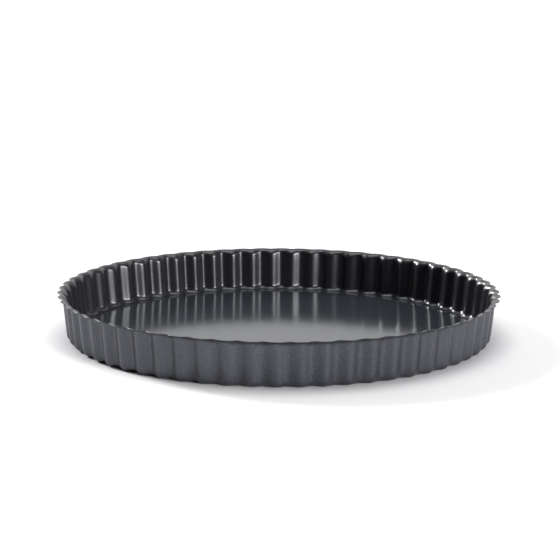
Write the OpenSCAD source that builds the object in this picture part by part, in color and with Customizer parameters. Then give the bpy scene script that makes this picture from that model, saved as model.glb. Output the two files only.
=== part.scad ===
// Fluted tart tin: a tapered sheet ring with a turned-out rim and a ledge, and a flat loose base that lies on it.
// Millimetres, +Z up. The origin is on the surface that the tin stands on, at the middle of the tin.
// A flute's outward bulge points along +X, and the same flute repeats all the way round.

/* [Overall] */
// Diameter over the outer edge of the rim
rim_diameter = 280; // [200:5:330]
// Height from the table to the top of the rim
tin_height = 28.5; // [20:0.5:45]
// Thickness of the ring's sheet
ring_sheet = 0.5; // [0.4:0.1:0.8]

/* [Flutes] */
// Number of flutes round the wall
flute_count = 60; // [36:1:62]
// Depth of a flute, from the crest of a bulge to the bottom of a groove
flute_depth = 2.7; // [1.6:0.1:4.4]
// Lean of the wall away from upright, in degrees
wall_lean = 5.6; // [2:0.2:9]

/* [Rim] */
// How far the rim reaches past the crest of a bulge
rim_reach = 2.8; // [2.4:0.1:4]
// Depth of the notches in the rim's outer edge, one over each groove
rim_notch = 1.9; // [0:0.1:2.6]
// Width of the bend between the wall and the flat of the rim
rim_bend = 2; // [1:0.1:2.2]

/* [Foot] */
// How far a bulge's crest stands out past the foot's edge under it
foot_overhang = 4.2; // [3:0.1:7]
// How far the foot's edge swings out under a bulge
foot_swing = 1.8; // [0:0.1:2.4]
// Width of the flat ledge at a groove
ledge_width = 8.5; // [6:0.5:16]

/* [Loose base] */
// Thickness of the base's sheet
base_sheet = 0.6; // [0.4:0.1:1.2]
// Gap between the base's edge and the start of the foot's curve at a groove
base_gap = 2.4; // [0.5:0.1:4]

/* [Hidden] */
// Straight steps round one flute
flute_steps = 6;
// How far the ledge's blank runs in past its opening before the opening is cut
overrun = 2 * ring_sheet;

// Radius of the rim's outer edge over a bulge
rim_r = rim_diameter / 2;
// Radius of the wall's outer face at the level of the rim's top, half way between crest and groove
wall_mid_r = rim_r - rim_reach - flute_depth / 2;
// The wall narrows downward as a cone does, so every radius at one level is multiplied by the same share
function level_share(z) = 1 - (tin_height - z) * tan(wall_lean) / wall_mid_r;
// Radius of the foot's edge under a groove
foot_r = (wall_mid_r + flute_depth / 2) * level_share(0) - foot_overhang - foot_swing;
// Radius of the round opening inside the ledge
opening_r = foot_r - ledge_width;
// Radius of the loose base
base_r = foot_r - base_gap;

// Outer face of the wall at the level of the rim's top, where a is the angle within a flute, 0 at the crest
function wall_out(a) = wall_mid_r + flute_depth / 2 * cos(a);
// Slope of that face to the mean circle
function flute_slope(a) = flute_depth / 2 * flute_count * sin(a) / wall_out(a);
// Radial thickness that leaves the sheet its true thickness on the sides of a flute
function slant(a) = sqrt(1 + pow(flute_slope(a), 2));
// Inner face of the wall at the same level
function wall_in(a) = wall_out(a) - ring_sheet * slant(a);
// Outer edge of the rim, whose notches are narrower than the lobes between them
function rim_out(a) = rim_r - rim_notch * pow((1 - cos(a)) / 2, 2);
// Inner edge of the rim's flat, where the bend from the wall ends
function flat_edge(a) = wall_out(a) + rim_bend;
// Edge of the foot's flat underside
function foot_edge(a) = foot_r + foot_swing * (1 + cos(a)) / 2;

// Both bends are arcs that touch the wall's line and a level. r is the wall's radius at the level of the rim's top,
// and c is the turn along the arc, from 0 on the flat to the bend's full turn at the wall.
function full_turn(r) = 90 - atan(r * tan(wall_lean) / wall_mid_r);
function arc_r(stand_out, r) = stand_out / tan(full_turn(r) / 2);
function rim_point(a, r, z, c) =
    let (arc = arc_r(flat_edge(a) - r * level_share(z), r))
    [flat_edge(a) - arc * sin(c), z - arc * (1 - cos(c))];
function foot_point(a, r, z, c) =
    let (arc = arc_r(r * level_share(z) - foot_edge(a), r))
    [foot_edge(a) + arc * sin(c), z + arc * (1 - cos(c))];

// Section through the sheet at one angle within a flute, as radius and height.
// It runs down the inside from the rim's edge to the ledge, and back up the outside.
function section(a) =
    let (o = wall_out(a), i = wall_in(a), s = ring_sheet, h = tin_height)
    let (oc = full_turn(o), ic = full_turn(i))
    [
        [rim_out(a), h],
        rim_point(a, i, h, 0),
        rim_point(a, i, h, ic / 2),
        rim_point(a, i, h, ic),
        foot_point(a, i, s, ic),
        foot_point(a, i, s, ic / 2),
        foot_point(a, i, s, 0),
        [opening_r - overrun, s],
        [opening_r - overrun, 0],
        foot_point(a, o, 0, 0),
        foot_point(a, o, 0, oc / 2),
        foot_point(a, o, 0, oc),
        rim_point(a, o, h - s, oc),
        rim_point(a, o, h - s, oc / 2),
        rim_point(a, o, h - s, 0),
        [rim_out(a), h - s]
    ];

module ring_blank() {
    n = flute_count * flute_steps;
    sections = [for (k = [0:flute_steps - 1]) section(360 * k / flute_steps)];
    m = len(sections[0]);
    points = [for (k = [0:n - 1]) let (t = 360 * k / n, p = sections[k % flute_steps])
        for (q = p) [q[0] * cos(t), q[0] * sin(t), q[1]]];
    faces = [for (k = [0:n - 1]) for (j = [0:m - 1])
        [k * m + j, k * m + (j + 1) % m, ((k + 1) % n) * m + (j + 1) % m, ((k + 1) % n) * m + j]];
    polyhedron(points = points, faces = faces, convexity = 6);
}

module fluted_ring() {
    color([0.16, 0.17, 0.18])
    difference() {
        ring_blank();
        translate([0, 0, -overrun])
        cylinder(r = opening_r, h = ring_sheet + 2 * overrun, $fn = 180);
    }
}

// The base's edge is a half round, so the sheet has no sharp edge
module loose_base() {
    color([0.2, 0.21, 0.22])
    translate([0, 0, ring_sheet])
    rotate_extrude($fn = 240) {
        square([base_r - base_sheet / 2, base_sheet]);
        translate([base_r - base_sheet / 2, base_sheet / 2])
        intersection() {
            circle(d = base_sheet, $fn = 32);
            translate([0, -base_sheet / 2])
            square(base_sheet);
        }
    }
}

fluted_ring();
loose_base();
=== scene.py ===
"""Looks of a fluted tart tin: a coated ring with a fluted wall, and the flat loose base that lies in it."""

import math

import bpy
import numpy as np
from mathutils import Matrix, Vector


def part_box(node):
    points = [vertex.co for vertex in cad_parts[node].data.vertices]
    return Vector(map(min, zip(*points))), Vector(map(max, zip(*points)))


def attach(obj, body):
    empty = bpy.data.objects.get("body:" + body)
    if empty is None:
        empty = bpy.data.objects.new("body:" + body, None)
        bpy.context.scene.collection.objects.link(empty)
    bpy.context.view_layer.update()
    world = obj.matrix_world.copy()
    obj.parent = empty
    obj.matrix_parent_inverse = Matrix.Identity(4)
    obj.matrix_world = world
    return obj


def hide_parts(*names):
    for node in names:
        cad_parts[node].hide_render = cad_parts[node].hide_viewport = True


bl_info = {
    "name": "Fluted tart tin",
    "version": (1, 0, 0),
    "blender": (4, 5, 0),
    "location": "3D View > Sidebar > Tart tin",
    "description": "Builds a fluted tart tin with a loose base, its non-stick coatings and a pale studio",
    "category": "Add Mesh",
}

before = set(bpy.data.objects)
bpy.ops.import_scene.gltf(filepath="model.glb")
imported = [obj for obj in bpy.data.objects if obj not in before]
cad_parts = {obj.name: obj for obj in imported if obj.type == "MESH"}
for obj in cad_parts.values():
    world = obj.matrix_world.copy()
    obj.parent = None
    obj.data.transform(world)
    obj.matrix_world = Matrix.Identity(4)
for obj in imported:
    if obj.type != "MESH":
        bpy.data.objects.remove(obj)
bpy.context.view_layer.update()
ring_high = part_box("fluted_ring")[1]

MILLIMETRE = 0.001
WHITE = (1, 1, 1, 1)

# Side of the square photograph, and the middle of it, in pixels
PHOTO_SIDE = 560
PHOTO_MIDDLE = PHOTO_SIDE / 2
# Width of the camera's sensor in millimetres, and how far the camera sees in metres
SENSOR_WIDTH = 36
SIGHT = 100

# Points round one flute, and round the loose base
FLUTE_POINTS = 24
BASE_POINTS = 240
# Rows of points round each bend of the ring, up its wall with both ends, and round its two edges
BEND_ROWS = 11
WALL_ROWS = 7
RIM_EDGE_ROWS = 7
OPENING_EDGE_ROWS = 5
# Strips of faces on the outside of the ring, from the edge of the opening to the underside of the rim
OUTSIDE_STRIPS = 2 * BEND_ROWS + WALL_ROWS - 1
# Rows of points across each flat of the base, and round its edge
BASE_FLAT_ROWS = 11
BASE_EDGE_ROWS = 9

# Levels of the speck noise at which a coating is darkest and lightest
SPECK_LEVELS = (0.35, 0.65)
SPECK_DETAIL = 2
# Clouds of roughness: how many there are in a metre, which levels of their noise count, and their swing
CLOUDS_PER_METRE = 60
CLOUD_LEVELS = (0.3, 0.7)
CLOUD_DETAIL = 3
CLOUD_SWING = 0.08


def length(name, description, default):
    """A length in metres, shown with five decimals."""
    return bpy.props.FloatProperty(
        name=name,
        description=description,
        default=default,
        min=0,
        precision=5,
        unit="LENGTH",
        subtype="DISTANCE",
    )


def share(name, description, default):
    """A number from 0 to 1."""
    return bpy.props.FloatProperty(
        name=name,
        description=description,
        default=default,
        min=0,
        max=1,
        precision=3,
        subtype="FACTOR",
    )


def number(name, description, default):
    """A plain number that isn't negative."""
    return bpy.props.FloatProperty(name=name, description=description, default=default, min=0)


def colour(name, description, default):
    """A plain linear colour."""
    return bpy.props.FloatVectorProperty(
        name=name,
        description=description,
        default=default,
        min=0,
        max=1,
        size=3,
        subtype="COLOR",
    )


def angle(name, description, degrees):
    """An angle, given in degrees."""
    return bpy.props.FloatProperty(
        name=name,
        description=description,
        default=math.radians(degrees),
        subtype="ANGLE",
    )


class RingSizes(bpy.types.PropertyGroup):
    """Sizes of the fluted ring"""

    rim_radius: length("Rim radius", "Radius of the rim's outer edge over a bulge", ring_high.x)
    height: length("Height", "Height from the table to the top of the rim", ring_high.z)
    sheet: length("Sheet", "Thickness of the ring's sheet", 0.5 * MILLIMETRE)
    flute_count: bpy.props.IntProperty(
        name="Flutes",
        description="Number of flutes round the wall",
        default=60,
        min=3,
    )
    flute_depth: length("Flute depth", "Depth of a flute from crest to groove", 2.7 * MILLIMETRE)
    wall_lean: angle("Wall lean", "Lean of the wall away from upright", 5.6)
    rim_reach: length("Rim reach", "How far the rim reaches past the crest of a bulge", 2.8 * MILLIMETRE)
    rim_notch: length("Rim notch", "Depth of the rim's notches, one over each groove", 1.9 * MILLIMETRE)
    crest_bend: length("Crest bend", "Width of the bend from a crest to the rim's flat", 1.6 * MILLIMETRE)
    groove_bend: length("Groove bend", "Width of the bend from a groove to the rim's flat", 3 * MILLIMETRE)
    rim_rise: share("Rim rise", "Slope at which the rim climbs toward its outer edge", 0.2)
    foot_overhang: length("Foot overhang", "How far a crest reaches past the foot's edge", 4.2 * MILLIMETRE)
    foot_swing: length("Foot swing", "How far the foot's edge swings out under a bulge", 1.8 * MILLIMETRE)
    ledge_width: length("Ledge width", "Width of the flat ledge at a groove", 8.5 * MILLIMETRE)


class BaseSizes(bpy.types.PropertyGroup):
    """Sizes of the loose base"""

    sheet: length("Sheet", "Thickness of the base's sheet", 0.6 * MILLIMETRE)
    gap: length("Gap", "Gap from the base's edge to the foot's curve at a groove", 2.4 * MILLIMETRE)


class OutsideCoating(bpy.types.PropertyGroup):
    """Satin coating on the outside of the ring"""

    tint: colour("Tint", "Colour of the coating, midway between its specks", (0.014, 0.0145, 0.0175))
    speck_swing: share("Speck swing", "How far the specks swing to both sides of the tint", 0.95)
    speck_size: length("Speck size", "Width of one speck, and of one grain of the surface", 0.9 * MILLIMETRE)
    grain_height: length("Grain height", "Height of the surface's grain", 0.15 * MILLIMETRE)
    roughness: share("Roughness", "Roughness of the coating", 0.43)
    refractive_index: number("Refractive index", "Sets how much the coating mirrors", 1.82)
    gloss_tint: colour("Gloss tint", "Tint of what the coating mirrors", (0.86, 0.89, 1))


class InsideCoating(bpy.types.PropertyGroup):
    """Darker and glossier coating on the inside of the ring"""

    tint: colour("Tint", "Colour of the coating, midway between its specks", (0.0115, 0.012, 0.0145))
    speck_swing: share("Speck swing", "How far the specks swing to both sides of the tint", 0.2)
    speck_size: length("Speck size", "Width of one speck, and of one grain of the surface", 0.5 * MILLIMETRE)
    grain_height: length("Grain height", "Height of the surface's grain", 0.0025 * MILLIMETRE)
    roughness: share("Roughness", "Roughness of the coating", 0.31)
    refractive_index: number("Refractive index", "Sets how much the coating mirrors", 1.56)
    gloss_tint: colour("Gloss tint", "Tint of what the coating mirrors", (0.95, 0.96, 1))


class BaseCoating(bpy.types.PropertyGroup):
    """Smooth coating on the loose base"""

    tint: colour("Tint", "Colour of the coating, midway between its specks", (0.026, 0.0295, 0.0355))
    speck_swing: share("Speck swing", "How far the specks swing to both sides of the tint", 0.2)
    speck_size: length("Speck size", "Width of one speck, and of one grain of the surface", 0.5 * MILLIMETRE)
    grain_height: length("Grain height", "Height of the surface's grain", 0.004 * MILLIMETRE)
    roughness: share("Roughness", "Roughness of the coating", 0.13)
    refractive_index: number("Refractive index", "Sets how much the coating mirrors", 1.5)
    gloss_tint: colour("Gloss tint", "Tint of what the coating mirrors", (0.95, 0.96, 1))


class StudioLook(bpy.types.PropertyGroup):
    """Camera, lights and floor. Turns are from straight in front of the tin to the right."""

    camera_distance: length("Camera distance", "Distance from the camera to the tin's origin", 1.092)
    camera_height: angle("Camera height", "Height of the camera as an angle at the tin's origin", 13.66)
    camera_turn: angle("Camera turn", "Turn of the camera round the tin", 0.65)
    camera_roll: angle("Camera roll", "How far the picture leans to the right", 0.377)
    focal_pixels: number("Focal length", "Focal length of the camera in pixels of the photograph", 1706)
    origin_column: number("Origin column", "Column of the photograph where the tin's origin falls", 279.1)
    origin_row: number("Origin row", "Row of the photograph where the tin's origin falls", 332.8)

    back_strength: number("Back strength", "Strength of the light from behind", 3.1)
    back_turn: angle("Back turn", "Turn of the light from behind", -128)
    back_height: angle("Back height", "Height of the light from behind, as an angle", 27)
    back_width: angle("Back width", "Width of the light from behind, as an angle", 13)
    side_strength: number("Side strength", "Strength of the light from the right", 3.2)
    side_turn: angle("Side turn", "Turn of the light from the right", 47.2)
    side_height: angle("Side height", "Height of the light from the right, as an angle", 15)
    side_width: angle("Side width", "Width of the light from the right, as an angle", 21)
    panel_strength: number("Panel strength", "Brightness of the panel above the tin, whatever its side", 3.6)
    panel_side: length("Panel side", "Side of the square panel above the tin", 1)
    panel_height: length("Panel height", "Height of the panel above the tin", 1.3)

    backdrop_light: share("Backdrop light", "Strength of the even light from behind the tin", 1)
    room_light: share("Room light", "Strength of the even light from the camera's side", 0)
    backdrop_start: share("Backdrop start", "How far back a direction points where that light is full", 0.75)

    floor_colour: colour("Floor colour", "Colour of the floor", (0.89, 0.89, 0.9))
    floor_reach: length("Floor reach", "Distance from the tin's middle to the floor's edges", 12)
    white_start: length("White start", "Distance at which the floor starts to turn plain white", 0.3)
    white_end: length("White end", "Distance at which the floor is plain white", 0.9)


# Geometry


def even_turns(points):
    """Turns of evenly spaced points on a full circle, in radians."""
    return np.arange(points) * 2 * math.pi / points


def circle(turns):
    """Plan of a circle with a radius of 1: the cosine and the sine of each turn."""
    return np.stack((np.cos(turns), np.sin(turns)), axis=-1)


def wall_middle(ring):
    """Radius of the wall's outer face at the rim's level, half way between crest and groove."""
    return ring.rim_radius - ring.rim_reach - ring.flute_depth / 2


def level_share(ring, z):
    """Share of the wall's top radius that is left at height z, as the wall narrows downward like a cone."""
    return 1 - (ring.height - z) * math.tan(ring.wall_lean) / wall_middle(ring)


def foot_radius(ring):
    """Radius of the foot's edge under a groove."""
    crest = (wall_middle(ring) + ring.flute_depth / 2) * level_share(ring, 0)
    return crest - ring.foot_overhang - ring.foot_swing


def wall_plan(ring, turns):
    """Plan of the wall's outer face at the rim's level: a circle whose radius swings by half the flute depth,
    as the cosine of the flute count times the turn."""
    radius = wall_middle(ring) + ring.flute_depth / 2 * np.cos(ring.flute_count * turns)
    return radius[:, None] * circle(turns)


def groove_share(ring, turns):
    """0 over a crest and 1 over a groove: half of 1 less the cosine of the flute count times the turn."""
    return (1 - np.cos(ring.flute_count * turns)) / 2


def rim_plan(ring, turns, inset):
    """Plan of the rim's outer edge less an inset: a circle less the notch depth times the groove share
    squared, which makes the notches narrower than the lobes."""
    radius = ring.rim_radius - ring.rim_notch * groove_share(ring, turns) ** 2 - inset
    return radius[:, None] * circle(turns)


def outward(plan):
    """Unit normals of a closed plan curve: the run between a point's neighbours, turned a quarter right."""
    run = np.roll(plan, -1, axis=0) - np.roll(plan, 1, axis=0)
    normal = np.stack((run[:, 1], -run[:, 0]), axis=-1)
    return normal / np.linalg.norm(normal, axis=-1, keepdims=True)


def at_level(plan, z):
    """Plan points lifted to heights z, one height for all or one for each."""
    return np.concatenate((plan, np.broadcast_to(z, (len(plan),))[:, None]), axis=-1)


def wall_rows(ring, plan, low, high):
    """Rows up the wall: the plan at the rim's level times the cone's share at even steps from the lowest
    height to the highest, both of which differ from column to column."""
    rows = []
    for step in np.linspace(0, 1, WALL_ROWS):
        z = low + (high - low) * step
        rows.append(at_level(plan * level_share(ring, z)[:, None], z))
    return rows


def bend_rows(ring, plan, edge, level, side):
    """Rows round a bend, from a flat to the wall: in the upright plane through the axis and each plan point,
    an arc that touches both the flat, at radius edge and height level, and the straight line along the wall.
    Side is 1 at the foot, where the arc runs out and up, and -1 at the rim, where it runs in and down."""
    radius = np.linalg.norm(plan, axis=-1)
    direction = plan / radius[:, None]
    full_turn = math.pi / 2 - np.arctan(radius * math.tan(ring.wall_lean) / wall_middle(ring))
    arc = side * (radius * level_share(ring, level) - edge) / np.tan(full_turn / 2)
    rows = []
    for step in np.linspace(0, 1, BEND_ROWS):
        reach = edge + side * arc * np.sin(full_turn * step)
        climb = side * arc * (1 - np.cos(full_turn * step))
        rows.append(at_level(direction * reach[:, None], level + climb))
    return rows


def rim_rows(ring, turns, plan, edge, level):
    """Rows of the bend between the rim's flat and the wall, each point lowered by the rim's rise times its
    distance in from the rim's outer edge."""
    outer_edge = np.linalg.norm(rim_plan(ring, turns, 0), axis=-1)
    rows = np.array(bend_rows(ring, plan, edge, level, -1))
    rows[..., 2] -= ring.rim_rise * (outer_edge - np.linalg.norm(rows[..., :2], axis=-1))
    return list(rows)


def edge_rows(plan_at, middle, half, count):
    """Rows up round the edge of a sheet, which is a half round: the sine of a turn from straight down to
    straight up lifts the row from the sheet's middle, and the cosine brings it out to the edge. The function
    plan_at gives the plan at an inset from the edge."""
    turns = np.linspace(-math.pi / 2, math.pi / 2, count)
    return [at_level(plan_at(half * (1 - math.cos(turn))), middle + half * math.sin(turn)) for turn in turns]


def ring_rows(ring, turns):
    """Closed section of the ring at every turn, as rows of points: from the rim down the inside to the ledge,
    round the opening's edge, and back up the outside."""
    half = ring.sheet / 2
    outer = wall_plan(ring, turns)
    inner = outer - outward(outer) * ring.sheet
    opening = foot_radius(ring) - ring.ledge_width
    foot_edge = foot_radius(ring) + ring.foot_swing * (1 - groove_share(ring, turns))
    rim_bend = ring.crest_bend + (ring.groove_bend - ring.crest_bend) * groove_share(ring, turns)
    flat_edge = np.linalg.norm(outer, axis=-1) + rim_bend

    inner_rim = rim_rows(ring, turns, inner, flat_edge, ring.height)
    outer_rim = rim_rows(ring, turns, outer, flat_edge, ring.height - ring.sheet)
    inner_foot = bend_rows(ring, inner, foot_edge, ring.sheet, 1)
    outer_foot = bend_rows(ring, outer, foot_edge, 0, 1)
    inner_wall = wall_rows(ring, inner, inner_foot[-1][:, 2], inner_rim[-1][:, 2])
    outer_wall = wall_rows(ring, outer, outer_foot[-1][:, 2], outer_rim[-1][:, 2])
    rim_edge = edge_rows(lambda inset: rim_plan(ring, turns, inset), ring.height - half, half, RIM_EDGE_ROWS)
    opening_edge = edge_rows(lambda inset: circle(turns) * (opening + inset), half, half, OPENING_EDGE_ROWS)

    rows = rim_edge + inner_rim + inner_wall[-2:0:-1] + inner_foot[::-1]
    rows += opening_edge[::-1] + outer_foot + outer_wall[1:-1] + outer_rim[::-1]
    return np.array(rows)


def disc_rows(radius, sheet, low, turns):
    """Rows of a flat disc, from the first step out on its top to the same step on its underside: even steps
    along the radius, a half round at the edge, and even steps back."""
    half = sheet / 2
    shares = np.linspace(0, 1, BASE_FLAT_ROWS + 2)[1:-1]
    flat = [circle(turns) * (radius - half) * part for part in shares]
    edge = edge_rows(lambda inset: circle(turns) * (radius - inset), low + half, half, BASE_EDGE_ROWS)
    top = [at_level(plan, low + sheet) for plan in flat]
    underside = [at_level(plan, low) for plan in flat]
    return np.array(top + edge[::-1] + underside[::-1])


# Meshes


def grid_faces(rows, columns, closed):
    """Quads between neighbouring rows and columns of a grid whose columns close on themselves, and whose rows
    do too if closed is true."""
    row = np.arange(rows if closed else rows - 1)[:, None]
    column = np.arange(columns)[None]
    below = (row + 1) % rows
    beside = (column + 1) % columns
    corners = (
        row * columns + column,
        below * columns + column,
        below * columns + beside,
        row * columns + beside,
    )
    return np.stack(corners, axis=-1).reshape(-1, 4).tolist()


def pole_faces(rows, columns):
    """Triangles that close both ends of a grid whose columns close on themselves: a fan between the first row
    and the point that follows the grid, and a fan between the last row and the point after that."""
    column = np.arange(columns)
    beside = (column + 1) % columns
    last_row = (rows - 1) * columns
    first_pole = np.full(columns, rows * columns)
    first_fan = np.stack((first_pole, column, beside), axis=-1)
    last_fan = np.stack((first_pole + 1, last_row + beside, last_row + column), axis=-1)
    return np.stack((first_fan, last_fan), axis=1).reshape(-1, 3).tolist()


def new_object(name, points, faces, smooth=True):
    """An object at the origin with its place in its mesh."""
    mesh = bpy.data.meshes.new(name)
    mesh.from_pydata(points.tolist(), [], faces)
    mesh.validate()
    mesh.polygons.foreach_set("use_smooth", [smooth] * len(mesh.polygons))
    mesh.update()
    made = bpy.data.objects.new(name, mesh)
    bpy.context.scene.collection.objects.link(made)
    return made


# Materials


def shader_tree(name):
    """A new material without nodes, and its node tree."""
    material = bpy.data.materials.new(name)
    material.use_nodes = True
    material.node_tree.nodes.clear()
    return material, material.node_tree


def add(tree, kind, inputs=None, **settings):
    """Adds a node, sets its own settings, and fills its sockets with values or links them to sockets."""
    made = tree.nodes.new("ShaderNode" + kind)
    for key, value in settings.items():
        setattr(made, key, value)
    for key, value in (inputs or {}).items():
        if isinstance(value, bpy.types.NodeSocket):
            tree.links.new(value, made.inputs[key])
        else:
            made.inputs[key].default_value = value
    return made


def between(tree, value, levels, results, curve="LINEAR"):
    """Stretches a value so that its two levels become the two results. Past a level it keeps that level's
    result."""
    inputs = {
        "Value": value,
        "From Min": levels[0],
        "From Max": levels[1],
        "To Min": results[0],
        "To Max": results[1],
    }
    return add(tree, "MapRange", inputs, interpolation_type=curve).outputs["Result"]


def calculate(tree, operation, first, second):
    """One calculation on two numbers."""
    return add(tree, "Math", {0: first, 1: second}, operation=operation).outputs["Value"]


def noise(tree, place, scale, detail):
    """Level of a noise at a place, from 0 to 1."""
    return add(tree, "TexNoise", {"Vector": place, "Scale": scale, "Detail": detail}).outputs["Fac"]


def coating(name, look):
    """Sprayed non-stick coating: fine specks swing its colour to both sides of the tint by a share of it, the
    same specks are the grain of its surface, and wide clouds swing its roughness a little."""
    material, tree = shader_tree(name)
    place = add(tree, "TexCoord").outputs["Object"]
    specks = noise(tree, place, 1 / look.speck_size, SPECK_DETAIL)
    clouds = noise(tree, place, CLOUDS_PER_METRE, CLOUD_DETAIL)
    darkest = [part * (1 - look.speck_swing) for part in look.tint]
    lightest = [part * (1 + look.speck_swing) for part in look.tint]
    smoothest = look.roughness * (1 - CLOUD_SWING)
    roughest = look.roughness * (1 + CLOUD_SWING)
    speck_colour = add(
        tree,
        "Mix",
        {"Factor": between(tree, specks, SPECK_LEVELS, (0, 1)), "A": (*darkest, 1), "B": (*lightest, 1)},
        data_type="RGBA",
    )
    grain = add(tree, "Bump", {"Height": specks, "Strength": 1, "Distance": look.grain_height})
    shader = add(
        tree,
        "BsdfPrincipled",
        {
            "Base Color": speck_colour.outputs["Result"],
            "Roughness": between(tree, clouds, CLOUD_LEVELS, (smoothest, roughest)),
            "IOR": look.refractive_index,
            "Specular Tint": (*look.gloss_tint, 1),
            "Normal": grain.outputs["Normal"],
        },
    )
    add(tree, "OutputMaterial", {"Surface": shader.outputs["BSDF"]})
    return material


def floor_material(studio):
    """Matt pale floor that keeps the tin's shadow. Away from the tin it turns plain white, for the camera and
    for whatever mirrors it or lets it through."""
    material, tree = shader_tree("studio_floor")
    matt = add(tree, "BsdfDiffuse", {"Color": (*studio.floor_colour, 1)})
    white = add(tree, "Emission", {"Color": WHITE, "Strength": 1})
    place = add(tree, "TexCoord").outputs["Object"]
    distance = add(tree, "VectorMath", {0: place}, operation="LENGTH").outputs["Value"]
    far = between(tree, distance, (studio.white_start, studio.white_end), (0, 1), "SMOOTHSTEP")
    ray = add(tree, "LightPath").outputs
    seen = calculate(tree, "MAXIMUM", ray["Is Camera Ray"], ray["Is Glossy Ray"])
    seen = calculate(tree, "MAXIMUM", seen, ray["Is Transmission Ray"])
    white_share = calculate(tree, "MULTIPLY", far, seen)
    mixed = add(tree, "MixShader", {0: white_share, 1: matt.outputs["BSDF"], 2: white.outputs["Emission"]})
    add(tree, "OutputMaterial", {"Surface": mixed.outputs["Shader"]})
    return material


def studio_world(studio):
    """Even light that fades from the backdrop's strength behind the tin to the room's in front of it."""
    world = bpy.data.worlds.new("studio_world")
    world.use_nodes = True
    tree = world.node_tree
    tree.nodes.clear()
    direction = add(tree, "TexCoord").outputs["Generated"]
    back = add(tree, "SeparateXYZ", {"Vector": direction}).outputs["Y"]
    results = (studio.room_light, studio.backdrop_light)
    strength = between(tree, back, (0, studio.backdrop_start), results, "SMOOTHSTEP")
    light = add(tree, "Background", {"Color": WHITE, "Strength": strength})
    add(tree, "OutputWorld", {"Surface": light.outputs["Background"]})
    return world


# Studio


def toward(turn, rise):
    """Unit vector from the tin toward something, by its turn from straight in front to the right and its
    height as an angle, both in radians."""
    return Vector((math.sin(turn) * math.cos(rise), -math.cos(turn) * math.cos(rise), math.sin(rise)))


def camera_rotation(studio, place):
    """Rotation of a camera at place: it looks at the origin, is turned so that the origin falls on its pixel,
    and is rolled."""
    forward = -place.normalized()
    right = forward.cross(Vector((0, 0, 1))).normalized()
    up = right.cross(forward)
    pitch = math.atan2(studio.origin_row - PHOTO_MIDDLE, studio.focal_pixels)
    yaw = math.atan2(studio.origin_column - PHOTO_MIDDLE, studio.focal_pixels)
    raised = forward * math.cos(pitch) + up * math.sin(pitch)
    upright = right.cross(raised)
    aim = raised * math.cos(yaw) - right * math.sin(yaw)
    side = aim.cross(upright).normalized()
    rolled_side = side * math.cos(studio.camera_roll) + upright * math.sin(studio.camera_roll)
    rolled_up = rolled_side.cross(aim)
    return Matrix((rolled_side, rolled_up, -aim)).transposed()


def add_camera(studio):
    """The camera, at the photograph's angle."""
    data = bpy.data.cameras.new("camera")
    data.sensor_width = SENSOR_WIDTH
    data.lens = studio.focal_pixels * SENSOR_WIDTH / PHOTO_SIDE
    data.clip_end = SIGHT
    camera = bpy.data.objects.new("camera", data)
    bpy.context.scene.collection.objects.link(camera)
    place = toward(studio.camera_turn, studio.camera_height) * studio.camera_distance
    camera.matrix_world = Matrix.Translation(place) @ camera_rotation(studio, place).to_4x4()
    bpy.context.scene.camera = camera


def add_sun(name, strength, turn, height, width):
    """A far light, with its turn, its height and its width as angles in radians."""
    data = bpy.data.lights.new(name, "SUN")
    data.energy = strength
    data.angle = width
    sun = bpy.data.objects.new(name, data)
    bpy.context.scene.collection.objects.link(sun)
    sun.rotation_euler = toward(turn, height).to_track_quat("Z", "Y").to_euler()


def add_panel(studio):
    """A square lamp straight above the tin, whose power is its strength times pi times its area."""
    data = bpy.data.lights.new("top_light", "AREA")
    data.size = studio.panel_side
    data.energy = studio.panel_strength * math.pi * studio.panel_side**2
    panel = bpy.data.objects.new("top_light", data)
    panel.location = (0, 0, studio.panel_height)
    bpy.context.scene.collection.objects.link(panel)


def add_floor(studio):
    """A wide plane at the height on which the tin stands."""
    corners = studio.floor_reach * np.array([(-1, -1, 0), (1, -1, 0), (1, 1, 0), (-1, 1, 0)])
    floor = new_object("studio_floor", corners, [(0, 1, 2, 3)], smooth=False)
    floor.data.materials.append(floor_material(studio))


# Operators


class TARTTIN_OT_ring(bpy.types.Operator):
    """Build the fluted ring, with its satin outside and its darker, glossier inside"""

    bl_idname = "tart_tin.ring"
    bl_label = "Fluted ring"

    def execute(self, context):
        scene = context.scene
        turns = even_turns(scene.ring_sizes.flute_count * FLUTE_POINTS)
        rows = ring_rows(scene.ring_sizes, turns)
        faces = grid_faces(len(rows), len(turns), closed=True)
        piece = new_object("fluted_ring_coated", rows.reshape(-1, 3), faces)
        piece.data.materials.append(coating("inside_coating", scene.inside_coating))
        piece.data.materials.append(coating("outside_coating", scene.outside_coating))
        coat = np.zeros(len(rows), dtype=np.int32)
        coat[-OUTSIDE_STRIPS:] = 1
        piece.data.polygons.foreach_set("material_index", np.repeat(coat, len(turns)))
        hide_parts("fluted_ring")
        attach(piece, "ring")
        return {"FINISHED"}


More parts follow.
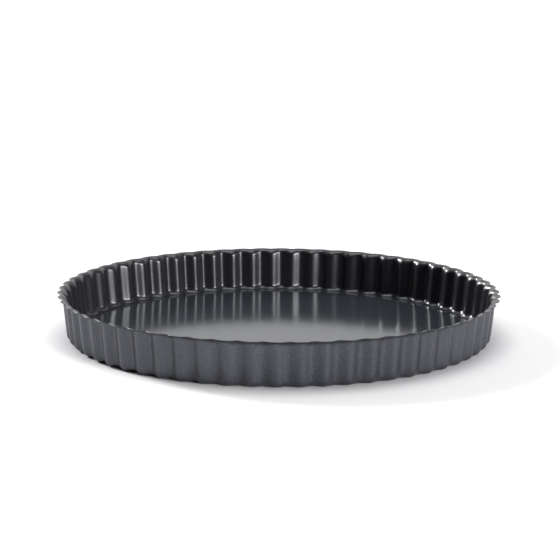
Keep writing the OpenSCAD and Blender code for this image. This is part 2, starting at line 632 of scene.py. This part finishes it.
class TARTTIN_OT_base(bpy.types.Operator):
    """Build the loose base in its smooth coating"""

    bl_idname = "tart_tin.base"
    bl_label = "Loose base"

    def execute(self, context):
        scene = context.scene
        ring = scene.ring_sizes
        base = scene.base_sizes
        turns = even_turns(BASE_POINTS)
        rows = disc_rows(foot_radius(ring) - base.gap, base.sheet, ring.sheet, turns)
        faces = grid_faces(len(rows), BASE_POINTS, closed=False) + pole_faces(len(rows), BASE_POINTS)
        poles = [(0, 0, ring.sheet + base.sheet), (0, 0, ring.sheet)]
        points = np.concatenate((rows.reshape(-1, 3), poles))
        piece = new_object("loose_base_coated", points, faces)
        piece.data.materials.append(coating("base_coating", scene.base_coating))
        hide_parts("loose_base")
        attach(piece, "base")
        return {"FINISHED"}


class TARTTIN_OT_studio(bpy.types.Operator):
    """Set up the camera, the floor and the lights"""

    bl_idname = "tart_tin.studio"
    bl_label = "Studio"

    def execute(self, context):
        studio = context.scene.studio_look
        add_camera(studio)
        add_floor(studio)
        add_sun("back_light", studio.back_strength, studio.back_turn, studio.back_height, studio.back_width)
        add_sun("side_light", studio.side_strength, studio.side_turn, studio.side_height, studio.side_width)
        add_panel(studio)
        context.scene.world = studio_world(studio)
        context.scene.view_settings.view_transform = "Standard"
        return {"FINISHED"}


class TARTTIN_PT_pieces(bpy.types.Panel):
    """Lists the pieces, the studio and their settings"""

    bl_idname = "TARTTIN_PT_pieces"
    bl_label = "Tart tin"
    bl_space_type = "VIEW_3D"
    bl_region_type = "UI"
    bl_category = "Tart tin"

    def draw(self, context):
        for operator in OPERATORS:
            self.layout.operator(operator.bl_idname)
        for settings, group in SETTINGS.items():
            box = self.layout.box()
            for field in group.__annotations__:
                box.prop(getattr(context.scene, settings), field)


SETTINGS = {
    "ring_sizes": RingSizes,
    "base_sizes": BaseSizes,
    "outside_coating": OutsideCoating,
    "inside_coating": InsideCoating,
    "base_coating": BaseCoating,
    "studio_look": StudioLook,
}
OPERATORS = (TARTTIN_OT_studio, TARTTIN_OT_ring, TARTTIN_OT_base)


def register():
    for name, group in SETTINGS.items():
        bpy.utils.register_class(group)
        setattr(bpy.types.Scene, name, bpy.props.PointerProperty(type=group))
    for operator in OPERATORS:
        bpy.utils.register_class(operator)
    bpy.utils.register_class(TARTTIN_PT_pieces)


def unregister():
    bpy.utils.unregister_class(TARTTIN_PT_pieces)
    for operator in OPERATORS:
        bpy.utils.unregister_class(operator)
    for name, group in SETTINGS.items():
        delattr(bpy.types.Scene, name)
        bpy.utils.unregister_class(group)


def main():
    register()
    bpy.ops.tart_tin.studio()
    bpy.ops.tart_tin.ring()
    bpy.ops.tart_tin.base()


if __name__ == "__main__":
    main()
